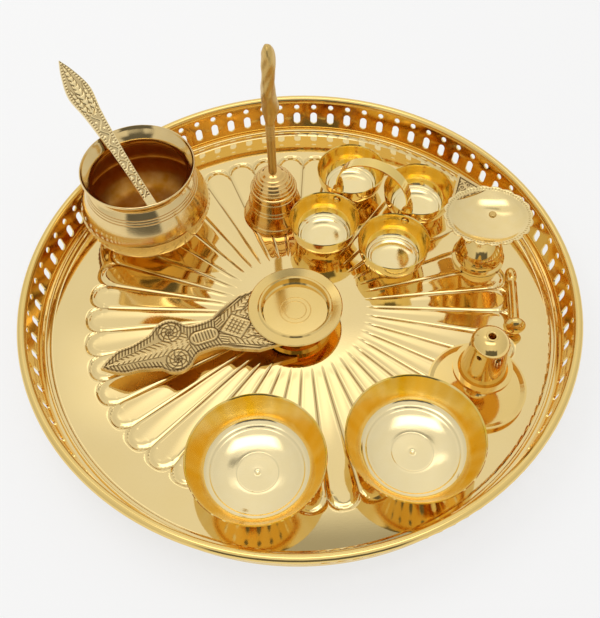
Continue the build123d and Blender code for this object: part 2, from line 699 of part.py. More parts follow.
# Incense holder: flanged skirt with side holes, and the domed cap that sits on it.
flange_lip = incense_flange_height + 2.2
skirt_foot = incense_flange_height + 1.2
skirt_outline = Polyline(
    (0, skirt_foot),
    (0, incense_flange_height),
    (incense_flange_radius, incense_flange_height),
    (incense_flange_radius, flange_lip),
    (incense_flange_radius - incense_flange_width, flange_lip),
    (incense_skirt_radius, skirt_foot),
    (incense_shoulder_radius, incense_shoulder_height),
    (incense_shoulder_radius - incense_sheet, incense_shoulder_height),
    (incense_skirt_radius - incense_sheet, skirt_foot),
    close=True,
)
incense_cone = turned(skirt_outline)
side_hole = Pos(incense_shoulder_radius, 0, incense_shoulder_height - 2.2) * Rot(0, 90, 0)
side_hole *= Cylinder(incense_side_hole_radius, 6 * incense_sheet)
for place in range(incense_side_holes):
    incense_cone -= Rot(0, 0, incense_first_hole + place * 360 / incense_side_holes) * side_hole
cap_top = incense_shoulder_height + incense_cap_height
cap_wall = [
    (incense_shoulder_radius + 0.5, incense_shoulder_height),
    (incense_shoulder_radius + 0.2, incense_shoulder_height + 1.6),
    (6.8, cap_top - 1.9),
    (incense_stick_hole_radius + 1.2, cap_top - 0.4),
]
incense_cap = skin(cap_wall, 1.2 * incense_sheet, 0.4)

# Offering bowls: flared wall, a ring turned round the well, and a dimple.
bowl_points = [
    (bowl_foot_radius, 0),
    (bowl_foot_radius + 1.2, 2.4),
    (28.0, 8.6),
    (31.6, 15.0),
    (bowl_radius, bowl_height - bowl_rim_rise),
]
bowl = vessel(bowl_points, bowl_wall, bowl_floor, bowl_rim_rise)
bowl -= ring(bowl_foot_radius - 2.0, bowl_floor, 0.35)
bowl -= Pos(0, 0, bowl_floor + 1.2) * Sphere(1.7)

# Turned stick: one outline along X, from its flattened ball to the bead, then laid on the floor.
reach = (stick_bead_at[0] - stick_ball_at[0], stick_bead_at[1] - stick_ball_at[1])
stick_reach = hypot(*reach)
ball_half = stick_ball_length / 2
bead_half = stick_bead_length / 2
shaft_join = asin(stick_shaft_radius / stick_ball_radius)
shaft_start = (ball_half * cos(shaft_join), stick_shaft_radius)
bead_neck = (stick_reach - bead_half, stick_neck_radius)
bead_end = (stick_reach + bead_half, stick_neck_radius)
stick_outline = Spline(
    (-ball_half, 0),
    (-0.7 * ball_half, 0.714 * stick_ball_radius),
    (0, stick_ball_radius),
    (0.7 * ball_half, 0.714 * stick_ball_radius),
    shaft_start,
    tangents=((0, 1), (ball_half * sin(shaft_join), -stick_ball_radius * cos(shaft_join))),
)
stick_outline += Polyline((-ball_half, 0), (bead_end[0], 0), bead_end)
stick_outline += Spline(
    bead_end,
    (stick_reach + 0.55 * bead_half, 0.9 * stick_bead_radius),
    (stick_reach, stick_bead_radius),
    (stick_reach - 0.55 * bead_half, 0.9 * stick_bead_radius),
    bead_neck,
)
stick_outline += Polyline(bead_neck, (bead_neck[0] - 1.0, stick_shaft_radius), shaft_start)
powder_stick = revolve(make_face(stick_outline), Axis.X)
stick_droop = degrees(asin((stick_ball_radius - stick_bead_radius) / stick_reach))
stick_heading = Vector(*reach).get_signed_angle(Vector(1, 0, 0), Vector(0, 0, -1))
stick_pose = Pos(0, 0, stick_ball_radius + stick_floor_gap) * Rot(0, 0, stick_heading)
powder_stick = stick_pose * Rot(0, stick_droop, 0) * powder_stick

# Every piece in its place, one file each.
cups_turned = Rot(0, 0, cups_turn)
nodes = {
    "tray_floor": tray_floor,
    "tray_ledge": tray_ledge,
    "rim_bead": rim_bead,
    "rim_wire": rim_wire,
    "pot_lower": on_tray(pot_lower, pot_at),
    "pot_band": on_tray(pot_band, pot_at),
    "pot_upper": on_tray(pot_upper, pot_at),
    "ladle": on_tray(ladle, pot_at),
    "bell_body": on_tray(bell_body, bell_at),
    "bell_handle": on_tray(bell_handle, bell_at),
    "bell_yoke": on_tray(bell_yoke, bell_at),
    "bell_pin": on_tray(bell_pin, bell_at),
    "bell_clapper": on_tray(bell_clapper, bell_at),
    "cup_front_left": on_tray(cups_turned * cup_front_left, cups_at),
    "cup_front_right": on_tray(cups_turned * cup_front_right, cups_at),
    "cup_back_left": on_tray(cups_turned * cup_back_left, cups_at),
    "cup_back_right": on_tray(cups_turned * cup_back_right, cups_at),
    "cup_strap": on_tray(cups_turned * cup_strap, cups_at),
    "cup_rivets": on_tray(cups_turned * cup_rivets, cups_at),
    "dish_pan": on_tray(dish_pan, dish_at),
    "dish_foot": on_tray(dish_foot, dish_at),
    "dish_handle": on_tray(dish_handle, dish_at),
    "lamp_bowl": on_tray(lamp_bowl, lamp_at),
    "lamp_tab": on_tray(lamp_tab, lamp_at),
    "lamp_foot": on_tray(lamp_foot, lamp_at),
    "lamp_rivet": on_tray(lamp_rivet, lamp_at),
    "incense_plate": on_tray(incense_plate, incense_at),
    "incense_stem": on_tray(incense_stem, incense_at),
    "incense_cone": on_tray(incense_cone, incense_at),
    "incense_cap": on_tray(incense_cap, incense_at),
    "offering_bowl_left": on_tray(bowl, bowl_left_at),
    "offering_bowl_right": on_tray(bowl, bowl_right_at),
    "powder_stick": on_tray(powder_stick, stick_ball_at),
}
nodes.update(gallery)
os.makedirs("parts", exist_ok=True)
for name, shape in nodes.items():
    export_step(shape, "parts/" + name + ".step")
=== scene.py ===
# %% [markdown]
# # A puja thali in polished brass
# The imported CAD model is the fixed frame: every tray part, pot, bell and bowl is already in its place, in
# metres. This lesson adds what a solid can't show: the camera of the photograph, a pale studio, brass
# that looks polished, spun or antiqued, and finer skins for the pieces whose ornament is too delicate for
# the solids. `deck` is the height of the tray's floor above the table.

# %% Load the frame
import json
from math import cos, pi, radians, sin

import bmesh
import bpy
import numpy as np
from mathutils import Matrix, Vector


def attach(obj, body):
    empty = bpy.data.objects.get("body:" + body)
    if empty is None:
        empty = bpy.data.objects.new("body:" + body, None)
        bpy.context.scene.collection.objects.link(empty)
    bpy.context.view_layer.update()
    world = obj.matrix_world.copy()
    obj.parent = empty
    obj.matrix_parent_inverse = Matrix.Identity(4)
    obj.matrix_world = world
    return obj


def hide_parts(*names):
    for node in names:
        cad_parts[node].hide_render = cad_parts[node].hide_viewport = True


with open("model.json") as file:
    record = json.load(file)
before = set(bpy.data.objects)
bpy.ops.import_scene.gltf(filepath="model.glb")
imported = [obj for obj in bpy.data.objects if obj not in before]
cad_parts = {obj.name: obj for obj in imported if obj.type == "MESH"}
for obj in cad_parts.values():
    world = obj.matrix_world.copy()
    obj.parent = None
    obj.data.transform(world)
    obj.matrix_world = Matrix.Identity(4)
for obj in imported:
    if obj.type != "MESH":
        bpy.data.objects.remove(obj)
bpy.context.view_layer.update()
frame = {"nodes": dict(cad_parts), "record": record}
nodes = frame["nodes"]
scene = bpy.context.scene
scene.view_settings.view_transform = "Standard"
scene.cycles.glossy_bounces = 8
deck = 0.0012
print("nodes in the frame:", len(nodes))

# %% [markdown]
# The photograph looks down on the tray from the front, a little over half way up, from under half a metre
# away. Such a near camera makes the front of the rim wide and the back narrow, so distance and lens go
# together. The camera is set from its height angle, its distance to the tray's middle and a slight tilt
# of the hand.

# %% Camera of the photograph
view_rise = radians(55.66)
view_roll = radians(1.6)
view_distance = 0.470
view_target = Vector((0.00029, 0.0003, deck))
lens_pixels = 838.5
frame_height_pixels = 618
back = Vector((0, -cos(view_rise), sin(view_rise)))
level_up = Vector((0, sin(view_rise), cos(view_rise)))
level_right = Vector((1, 0, 0))
right = cos(view_roll) * level_right - sin(view_roll) * level_up
up = sin(view_roll) * level_right + cos(view_roll) * level_up
place = view_target + view_distance * back
lens = bpy.data.cameras.new("photo_camera")
lens.sensor_fit = "VERTICAL"
lens.sensor_height = 36.0
lens.lens = lens_pixels * lens.sensor_height / frame_height_pixels
lens.clip_start = 0.01
camera = bpy.data.objects.new("photo_camera", lens)
camera.matrix_world = Matrix((
    (right.x, up.x, back.x, place.x),
    (right.y, up.y, back.y, place.y),
    (right.z, up.z, back.z, place.z),
    (0, 0, 0, 1),
))
scene.collection.objects.link(camera)
scene.camera = camera
print("lens:", round(lens.lens, 2), "mm")

# %% [markdown]
# Shader networks are easier to read as sums than as boxes and wires. `Value` wraps one output socket and
# gives it Python's arithmetic, `Network` makes nodes in any tree, and `Finish` is a network with a
# material around it.

# %% Shader arithmetic


class Value:
    """A number that varies over a surface: an output socket with arithmetic."""

    def __init__(self, network, socket):
        self.network = network
        self.socket = socket

    def maths(self, operation, first, second=0.0):
        """One math node, fed by two numbers."""
        made = self.network.node("ShaderNodeMath", {"operation": operation}, {0: first, 1: second})
        return Value(self.network, made.outputs[0])

    def __add__(self, other):
        return self.maths("ADD", self, other)

    __radd__ = __add__

    def __sub__(self, other):
        return self.maths("SUBTRACT", self, other)

    def __rsub__(self, other):
        return self.maths("SUBTRACT", other, self)

    def __mul__(self, other):
        return self.maths("MULTIPLY", self, other)

    __rmul__ = __mul__

    def size(self):
        """The number without its sign."""
        return self.maths("ABSOLUTE", self)

    def clamp(self):
        """The number kept between 0 and 1."""
        return self.maths("MINIMUM", self.maths("MAXIMUM", self, 0.0), 1.0)


class Network:
    """Makes and links the nodes of one shader tree."""

    def __init__(self, tree):
        self.tree = tree

    def node(self, kind, settings=None, inputs=None):
        """New node: its settings are set first, then each input gets a value or a link."""
        made = self.tree.nodes.new(kind)
        for key, setting in (settings or {}).items():
            setattr(made, key, setting)
        for key, given in (inputs or {}).items():
            self.feed(made.inputs[key], given)
        return made

    def feed(self, socket, given):
        """Links a Value to the socket, or sets a plain value on it."""
        if isinstance(given, Value):
            self.tree.links.new(given.socket, socket)
        else:
            socket.default_value = given

    def out(self, kind, output, settings=None, inputs=None):
        """One output of a new node."""
        return Value(self, self.node(kind, settings, inputs).outputs[output])

    def parts(self, where):
        """The x, y and z of a vector, as three numbers."""
        split = self.node("ShaderNodeSeparateXYZ", None, {0: where})
        return [Value(self, socket) for socket in split.outputs]

    def noise(self, where, size, detail=3.0):
        """Cloudy noise whose clumps are about `size` metres across, near 0.5 on average."""
        inputs = {"Vector": where, "Scale": 1.0 / size, "Detail": detail}
        return self.out("ShaderNodeTexNoise", 0, None, inputs)

    def mix(self, factor, first, second):
        """Colour that goes from the first to the second as the factor goes from 0 to 1."""
        made = self.node("ShaderNodeMix", {"data_type": "RGBA"}, {0: factor, 6: first, 7: second})
        return Value(self, made.outputs[2])


class Finish(Network):
    """A procedural material, built on one Principled shader."""

    def __init__(self, name):
        self.material = bpy.data.materials.new(name)
        self.material.use_nodes = True
        super().__init__(self.material.node_tree)
        self.shader = self.tree.nodes["Principled BSDF"]

    def coordinates(self):
        """Place in the object's own frame, in metres."""
        return self.out("ShaderNodeTexCoord", "Object")

    def bump(self, height, depth, strength):
        """Surface direction, tilted as if the height stood `depth` metres out of the surface."""
        inputs = {"Height": height, "Distance": depth, "Strength": strength}
        return self.out("ShaderNodeBump", 0, None, inputs)

    def metal(self, spun):
        """Makes the shader metal; `spun` draws its gloss out across the rings left by the lathe."""
        self.shader.inputs["Metallic"].default_value = 1.0
        self.shader.inputs["Anisotropic"].default_value = spun
        self.shader.inputs["Anisotropic Rotation"].default_value = 0.25 if spun else 0.0

    def wear(self, **links):
        """Feeds the named inputs of the shader, and hands over the finished material."""
        for socket, given in links.items():
            self.feed(self.shader.inputs[socket.replace("_", " ")], given)
        return self.material


print("shader arithmetic ready")

# %% [markdown]
# The studio is a white light tent: a pale plain floor and a nearly even white sky, so that polished brass
# shows its own colour. Four things break the white, and give the metal its shape: the dark opening at the
# front, wide below and narrow above, a bright soft box overhead, a dim seam behind it and a streak of
# glare further back. The floor keeps a soft shadow.

# %% Stage and light
floor_white = (0.905, 0.905, 0.905, 1.0)
floor_reach = 3.0
floor_drop = 0.0004
glow_share = 0.72
backdrop = 0.94
sky_white = 0.90
side_dimming = 0.24
opening_dimming = 0.84
seam_dimming = 0.55
overhead_gain = 1.5
glare_gain = 0.65

floor_mesh = bpy.data.meshes.new("studio_floor")
corners = np.array([(-1, -1, 0), (1, -1, 0), (1, 1, 0), (-1, 1, 0)], float) * floor_reach
corners[:, 2] = -floor_drop
floor_mesh.from_pydata(corners.tolist(), [], [(0, 1, 2, 3)])
floor = bpy.data.objects.new("studio_floor", floor_mesh)
scene.collection.objects.link(floor)

paper = Finish("studio_paper")
paper.shader.inputs["Base Color"].default_value = floor_white
paper.shader.inputs["Roughness"].default_value = 1.0
paper.shader.inputs["Specular IOR Level"].default_value = 0.0
rays = paper.node("ShaderNodeLightPath")
seen = Value(paper, rays.outputs["Is Camera Ray"]) + Value(paper, rays.outputs["Is Glossy Ray"])
seen = (seen + Value(paper, rays.outputs["Is Transmission Ray"])).clamp()
glow = paper.node("ShaderNodeEmission", None, {"Color": (0.95, 0.95, 0.95, 1), "Strength": 1.0})
share = paper.node("ShaderNodeMixShader", None, {0: seen * glow_share})
paper.tree.links.new(paper.shader.outputs[0], share.inputs[1])
paper.tree.links.new(glow.outputs[0], share.inputs[2])
paper.tree.links.new(share.outputs[0], paper.tree.nodes["Material Output"].inputs["Surface"])
floor_mesh.materials.append(paper.material)


def below(number, limit, hardness):
    """1 well under the limit and 0 above it; a greater hardness makes the step between them shorter."""
    return ((limit - number) * hardness).clamp()


def near(number, middle, reach, hardness):
    """1 close to the middle and 0 beyond `reach` from it."""
    return below((number - middle).size(), reach, hardness)


world = bpy.data.worlds.new("light_tent")
scene.world = world
world.use_nodes = True
tent = Network(world.node_tree)
across, ahead, above = tent.parts(tent.out("ShaderNodeTexCoord", "Generated"))
upward = (above * 20).clamp()
wide = near(across, 0, 0.52, 12) * below(above, 0.66, 9)
tall = near(across, 0, 0.25, 16) * below(above, 0.72, 14)
opening = (wide + tall).clamp() * below(ahead, -0.05, 12)
overhead = near(across, 0, 0.36, 8) * near(ahead, 0.02, 0.17, 12) * upward
seam = near(across, 0.08, 0.17, 14) * near(ahead, 0.30, 0.06, 30) * upward
glare = near(across, -0.04, 0.25, 6) * near(ahead, 0.485, 0.06, 28) * upward
white = sky_white - side_dimming * across.size() + overhead_gain * overhead + glare_gain * glare
white = white * (1 - opening_dimming * opening) * (1 - seam_dimming * seam)
looked_at = tent.out("ShaderNodeLightPath", "Is Camera Ray")
white = white * (1 - looked_at) + backdrop * looked_at
sky = tent.tree.nodes["Background"]
sky.inputs["Color"].default_value = (1.0, 0.995, 0.985, 1)
tent.feed(sky.inputs["Strength"], white)


def soft_box(name, place, size, power, colour):
    """Rectangular lamp that faces the tray's middle, and that the metal doesn't mirror."""
    lamp = bpy.data.lights.new(name, "AREA")
    lamp.shape = "RECTANGLE"
    lamp.size, lamp.size_y = size
    lamp.energy = power
    lamp.color = colour
    box = bpy.data.objects.new(name, lamp)
    box.location = place
    box.rotation_euler = (-Vector(place)).to_track_quat("-Z", "Y").to_euler()
    box.visible_glossy = False
    scene.collection.objects.link(box)


soft_box("soft_box_left", (-0.55, 0.45, 1.0), size=(0.8, 0.6), power=2.5, colour=(1.0, 0.99, 0.97))
print("stage and lamps ready")

# %% [markdown]
# Brass finishes. All of them are the same metal, told apart by tone and polish: the pressed tray is
# nearly a mirror, the pot has the fine rings of spinning, castings are softer, and engraved handles keep
# dark polish in their cuts. Each finish drifts between two tones, and an engraved one has a third for
# its cuts, which also serves as painted shade in the pot and the tray's grooves, and as a painted
# reflection on the walls of cups and bowls.

# %% Brass finishes


def brass(name, colour, deep, rough, spun=0.0, cloud=0.03, grain=0.0006, grain_depth=0.00001):
    """Brass whose colour drifts over `cloud` metres, with a faint grain."""
    finish = Finish(name)
    where = finish.coordinates()
    drift = finish.noise(where, cloud)
    fine = finish.noise(where, grain, 2.0)
    tint = finish.mix((drift * 1.6 - 0.3).clamp(), deep, colour)
    roughness = rough * (0.7 + 0.6 * drift) + 0.02 * fine
    finish.metal(spun)
    return finish.wear(Base_Color=tint, Roughness=roughness, Normal=finish.bump(fine, grain_depth, 0.3))


tray_brass = brass("tray_brass", (0.90, 0.71, 0.35, 1), (0.88, 0.67, 0.29, 1), rough=0.055)
gallery_brass = brass("gallery_brass", (0.89, 0.66, 0.25, 1), (0.86, 0.61, 0.20, 1), rough=0.08)
spun_brass = brass("spun_brass", (0.85, 0.64, 0.30, 1), (0.80, 0.57, 0.24, 1), rough=0.14, spun=0.6)
antiqued_brass = brass("antiqued_brass", (0.78, 0.61, 0.32, 1), (0.66, 0.49, 0.24, 1), rough=0.32)
cast_brass = brass("cast_brass", (0.88, 0.65, 0.26, 1), (0.85, 0.60, 0.20, 1), rough=0.09)
bowl_brass = brass("polished_brass", (0.92, 0.69, 0.24, 1), (0.90, 0.65, 0.20, 1), rough=0.11, spun=0.4)
bell_brass = brass("bell_brass", (0.85, 0.58, 0.22, 1), (0.80, 0.51, 0.17, 1), rough=0.10)
worn_brass = brass("worn_brass", (0.76, 0.53, 0.19, 1), (0.68, 0.46, 0.15, 1), rough=0.42)


def engraved(
    name, colour, deep, dark, rough, dull=0.30, spun=0.0, cloud=0.006, grain=0.0005, grain_depth=0.00002,
):
    """Brass darkened and dulled by cuts, painted shade and painted reflection, while grain breaks up the
    worn tops.
    """
    finish = Finish(name)
    where = finish.coordinates()
    cut = finish.out("ShaderNodeAttribute", "Fac", {"attribute_name": "cuts_and_painted_light"})
    drift = finish.noise(where, cloud)
    fine = finish.noise(where, grain, 2.0)
    # The attribute darkens real cuts, and elsewhere it is painted shade or painted reflection.
    stain_and_painted_light = ((cut * 1.5 - 0.55) * (0.6 + 0.8 * drift)).clamp()
    tint = finish.mix(stain_and_painted_light, finish.mix(drift, deep, colour), dark)
    finish.metal(spun)
    roughness = rough * (0.8 + 0.4 * drift) + dull * stain_and_painted_light
    return finish.wear(Base_Color=tint, Roughness=roughness, Normal=finish.bump(fine, grain_depth, 0.5))


# The tray's finish darkens each groove with a line of painted shade.
tray_lines = engraved(
    "tray_lines", (0.90, 0.71, 0.35, 1), (0.88, 0.67, 0.29, 1), (0.34, 0.20, 0.05, 1),
    rough=0.055, dull=0.15, cloud=0.03, grain_depth=0.000006,
)
engraved_brass = engraved(
    "engraved_brass", (0.84, 0.63, 0.29, 1), (0.70, 0.50, 0.21, 1), (0.13, 0.07, 0.02, 1), rough=0.28,
)
engraved_ladle = engraved(
    "engraved_ladle", (0.96, 0.79, 0.44, 1), (0.90, 0.70, 0.34, 1), (0.28, 0.18, 0.07, 1), rough=0.26,
)
# The pot's finish: its dark colour fills the cut lines, and is painted shade inside the pot.
spun_lines_and_shade = engraved(
    "spun_lines_and_shade", (0.86, 0.66, 0.32, 1), (0.80, 0.58, 0.25, 1), (0.56, 0.23, 0.015, 1), rough=0.12,
)
# Bowl and cup finishes: their deep orange is a painted reflection on the walls.
pressed_bowl = engraved(
    "pressed_bowl", (0.95, 0.80, 0.47, 1), (0.93, 0.76, 0.40, 1), (0.86, 0.57, 0.045, 1),
    rough=0.09, dull=0.02, spun=0.3,
)
pressed_cup = engraved(
    "pressed_cup", (0.95, 0.79, 0.44, 1), (0.93, 0.75, 0.36, 1), (0.92, 0.66, 0.12, 1),
    rough=0.08, dull=0.03, spun=0.3,
)
engraved_bright = engraved(
    "engraved_bright", (0.93, 0.75, 0.39, 1), (0.90, 0.69, 0.30, 1), (0.40, 0.26, 0.08, 1), rough=0.12,
)
finish_of = {
    "tray_brass": tray_brass,
    "gallery_brass": gallery_brass,
    "spun_brass": spun_brass,
    "antiqued_brass": antiqued_brass,
    "cast_brass": cast_brass,
    "polished_brass": bowl_brass,
}
for row in frame["record"]["subparts"]:
    mesh = nodes[row["node"]].data
    mesh.materials.clear()
    mesh.materials.append(finish_of[row["material_slot"]])
nodes["lamp_rivet"].data.materials[0] = worn_brass
print("finishes:", len(finish_of))

# %% [markdown]
# New skins are arrays: a surface is a grid of points worked out in one go, row by row and column by
# column, and each cell of the grid becomes a face. Where a row shrinks to one point, as at the axis of a
# turned piece, its doubles are merged, and the sign of the enclosed volume says whether the faces already
# point outwards. Points are worked out in millimetres, and `turned` and `swung` stand them on the tray's
# floor.

# %% Surface helpers
mm = 0.001
merge_distance = 1e-6


def smooth_curve(points, per_span=8):
    """Curve through the points: cubic spans whose end slopes are half the step between the neighbours."""
    given = np.asarray(points, float)
    ends = np.vstack((2 * given[0] - given[1], given, 2 * given[-1] - given[-2]))
    before, start, stop, after = (k[:, None, :] for k in (ends[:-3], ends[1:-2], ends[2:-1], ends[3:]))
    t = (np.arange(per_span) / per_span)[None, :, None]
    spans = 2 * start + (stop - before) * t
    spans = spans + (2 * before - 5 * start + 4 * stop - after) * t**2
    spans = spans + (3 * start - before - 3 * stop + after) * t**3
    return np.vstack((0.5 * spans.reshape(-1, given.shape[1]), given[-1:]))


def fade(value, low, high):
    """0 below low, 1 above high, and a smooth step between."""
    t = np.clip((value - low) / (high - low), 0, 1)
    return t * t * (3 - 2 * t)


def skin_piece(name, points, body, finish, stands_for=(), cuts_and_painted_light=None, sharp=38):
    """Closed piece from points of shape (rows, columns, 3) in millimetres; columns run round and close."""
    rows, columns = points.shape[:2]
    index = np.arange(rows * columns).reshape(rows, columns)
    ahead = np.roll(index, -1, axis=1)
    quads = np.stack((index[:-1], ahead[:-1], ahead[1:], index[1:]), axis=-1).reshape(-1, 4)
    flat = points.reshape(-1, 3) * mm
    corner = flat[quads]
    first = np.cross(corner[:, 1] - corner[:, 0], corner[:, 2] - corner[:, 0])
    second = np.cross(corner[:, 2] - corner[:, 0], corner[:, 3] - corner[:, 0])
    volume = ((first + second) * corner[:, 0]).sum()
    if volume < 0:
        quads = quads[:, ::-1]
    mesh = bpy.data.meshes.new(name)
    mesh.from_pydata(flat.tolist(), [], quads.tolist())
    if cuts_and_painted_light is not None:
        layer = mesh.attributes.new("cuts_and_painted_light", "FLOAT", "POINT")
        layer.data.foreach_set("value", cuts_and_painted_light.reshape(-1).astype(np.float32))
    work = bmesh.new()
    work.from_mesh(mesh)
    bmesh.ops.remove_doubles(work, verts=work.verts, dist=merge_distance)
    work.to_mesh(mesh)
    work.free()
    mesh.shade_smooth()
    mesh.set_sharp_from_angle(angle=radians(sharp))
    mesh.materials.append(finish)
    piece = bpy.data.objects.new(name, mesh)
    scene.collection.objects.link(piece)
    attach(piece, body)
    if stands_for:
        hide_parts(*stands_for)
    print(name, len(mesh.polygons), "faces")


def turned(profile, at, steps):
    """Profile of (radius, height) carried round the vertical axis through `at`."""
    profile = np.asarray(profile, float)
    angle = np.arange(steps) * 2 * pi / steps
    points = np.empty((len(profile), steps, 3))
    points[..., 0] = at[0] + profile[:, :1] * np.cos(angle)
    points[..., 1] = at[1] + profile[:, :1] * np.sin(angle)
    points[..., 2] = deck / mm + profile[:, 1:]
    return points


def swung(points, angle, at):
    """Points turned by the angle about the vertical axis, then moved to `at`."""
    placed = np.empty_like(points)
    placed[..., 0] = at[0] + points[..., 0] * cos(angle) - points[..., 1] * sin(angle)
    placed[..., 1] = at[1] + points[..., 0] * sin(angle) + points[..., 1] * cos(angle)
    placed[..., 2] = deck / mm + points[..., 2]
    return placed


print("surface helpers ready")

# %% [markdown]
# The tray's floor carries a sunburst of tongues pressed into the sheet. Each tongue is a little hollow,
# with a groove along both sides and round its tip. The grid's columns follow the slant of the tongues and
# crowd together at the grooves, so a thin line stays sharp without a huge mesh.

# %% Sunburst floor
petals = 44
petal_pitch = 2 * pi / petals
petal_tip = 118.6
tip_middle = petal_tip / (1 + sin(petal_pitch / 2))
tip_round = tip_middle * sin(petal_pitch / 2)
slant = 3.1
first_tip = radians(222.5)
groove_depth = 0.52
extra_tip_depth = 0.28
hollow_depth = 0.22
burst_start = 37
burst_full = 47
ring_bands = ((0, 36, 8), (36, 48, 10), (48, 106, 22), (106, 121, 34))
floor_edge = 143.9


def sunburst(samples=14):
    """Floor height less a bell-shaped groove round each tongue, steep outside its tip, and a shallow hollow.

    The second array is a bell across the same groove, for its dark line of painted shade.
    """
    share = 0.5 * np.sin(0.5 * pi * (np.arange(-samples, samples, 2) + 1) / samples)
    column = (np.arange(petals)[:, None] + share[None, :]).reshape(-1)
    across = np.tile(share, petals)[None, :]
    rings = [np.linspace(low, high, count, endpoint=False) for low, high, count in ring_bands]
    rings.append(np.linspace(ring_bands[-1][1], floor_edge, 8))
    radius = np.concatenate(rings)[:, None]
    safe = np.maximum(radius, 30.0)
    turn = first_tip + column[None, :] * petal_pitch
    turn = turn + np.arcsin(slant / safe) - np.arcsin(slant / tip_middle)
    local = across * petal_pitch
    side_gap = radius * petal_pitch * (0.5 - np.abs(across))
    from_middle = np.hypot(radius * np.cos(local) - tip_middle, radius * np.sin(local))
    beyond_tip = from_middle - tip_round
    gap = np.where(radius < tip_middle, side_gap, np.abs(beyond_tip))
    begins = fade(radius, burst_start, burst_full)
    rounding = fade(radius, tip_middle - 4, tip_middle + 3)
    side_width = 0.28 + 0.45 * radius / 110
    tip_width = np.where(beyond_tip > 0, 0.55, 1.7)
    width = side_width * (1 - rounding) + tip_width * rounding
    groove = (groove_depth + extra_tip_depth * rounding) * np.exp(-((gap / width) ** 2)) * begins
    inside = np.where(radius < tip_middle, 1.0, fade(-from_middle, -tip_round, -0.4 * tip_round))
    hollow = hollow_depth * (1 - (2 * across) ** 2) * begins * inside
    top = np.empty((len(radius), len(column), 3))
    top[..., 0] = radius * np.cos(turn)
    top[..., 1] = radius * np.sin(turn)
    top[..., 2] = deck / mm - groove - hollow
    under = top[[-1, 0]]
    under[..., 2] = 0
    # Painted shade: a dark line along each groove and round each tip.
    line_width = 0.42 + 0.5 * rounding
    line = np.exp(-((gap / line_width) ** 2)) * (1 - 0.4 * rounding) * begins
    return np.concatenate((top, under)), np.concatenate((line, 0 * line[:2]))


points, dark = sunburst()
skin_piece("sunburst_floor", points, "tray", tray_lines, ["tray_floor"], cuts_and_painted_light=dark, sharp=60)

# %% [markdown]
# Three pieces are flat plates with ornament in low relief: the handles of the camphor dish and the ladle,
# and the lamp's tab. Heights run from 0 in the cuts to 1 on the tops, and are worked out from plain
# distances. What stays low is kept as an attribute, for the dark polish in the cuts.

# %% Relief helpers
underside_tone = 0.2


def crowded(columns):
    """Places from -1 to 1 across a plate, closer together towards both edges: a sine of even steps."""
    reach = 0.45 * pi
    return np.sin(np.linspace(-reach, reach, columns)) / sin(reach)


def ridge(distance, width):
    """Rounded ridge: 1 on the line, falling to 0 at `width` from it."""
    return np.clip(1 - (distance / width) ** 2, 0, 1)


def cuts(value, pitch, width=0.36):
    """1 between fine cuts that lie `pitch` apart, falling to 0 on them."""
    return 1 - np.exp(-((pitch / pi * np.sin(pi * value / pitch) / width) ** 2))


def cut_line(distance, width=0.38):
    """0 on one fine cut, rising to 1 beside it."""
    return 1 - np.exp(-((distance / width) ** 2))


def leaves(high, x, y, root, tip, width):
    """The relief with a spray laid on it: leaflets parted by slanting cuts, a stem, and a cut round them."""
    run = np.subtract(tip, root)
    length = np.hypot(*run)
    along = ((x - root[0]) * run[0] + (y - root[1]) * run[1]) / length
    off = np.abs((x - root[0]) * run[1] - (y - root[1]) * run[0]) / length
    room = width * np.clip(1.05 - along / length, 0, 2) ** 0.6 - off
    leaf = np.maximum(cuts(along - 1.1 * off, 2.9, 0.42), ridge(off, 0.5)) * cut_line(room)
    return np.where((along > 0) & (along < length) & (room > 0), leaf, high)


def closed_plate(top, high, upper, lower):
    """Columns over the top and back along the flat underside, with a row half way up to close each end."""
    under = top[:, ::-1].copy()
    under[..., 2] = lower
    loop = np.concatenate((top, under), axis=1)
    ends = loop[[0, -1]]
    ends[..., 2] = 0.5 * (upper + lower)
    dark = np.concatenate((1 - high, np.full(high.shape, underside_tone)), axis=1)
    return np.concatenate((ends[:1], loop, ends[1:])), np.concatenate((dark[:1], dark, dark[-1:]))


print("relief helpers ready")

# %% [markdown]
# The camphor dish's handle is a cast plate with traditional ornament: a leafy tip, two flower lobes, an
# oval in the neck and a diamond in the fan, on a hatched ground. Each motif is laid over the last.

# %% Engraved dish handle
dish_at = np.array((-2.3, -5.5))
handle_turn = radians(199.0)
handle_top = 10.6
handle_sheet = 2.6
handle_relief_depth = 0.55
handle_tip = 108.4
handle_edge = smooth_curve((
    (26.0, 19.4), (37.0, 14.4), (46.0, 9.7), (56.0, 9.3), (60.0, 11.0), (64.0, 15.2), (69.0, 17.0),
    (74.5, 15.4), (78.5, 11.8), (84.0, 10.0), (90.0, 8.3), (97.0, 7.7), (103.0, 4.4), (handle_tip, 0.05),
))
fan_arc = 20.6
fan_half_width = 19.6
fan_end = 27.0
hatch = 1.7
diamond_middle = 34.0
diamond_scale = 5.3
oval_middle = 52.0
oval_radius = 3.4
flower_at = (68.8, 8.9)
flower_radius = 6.0


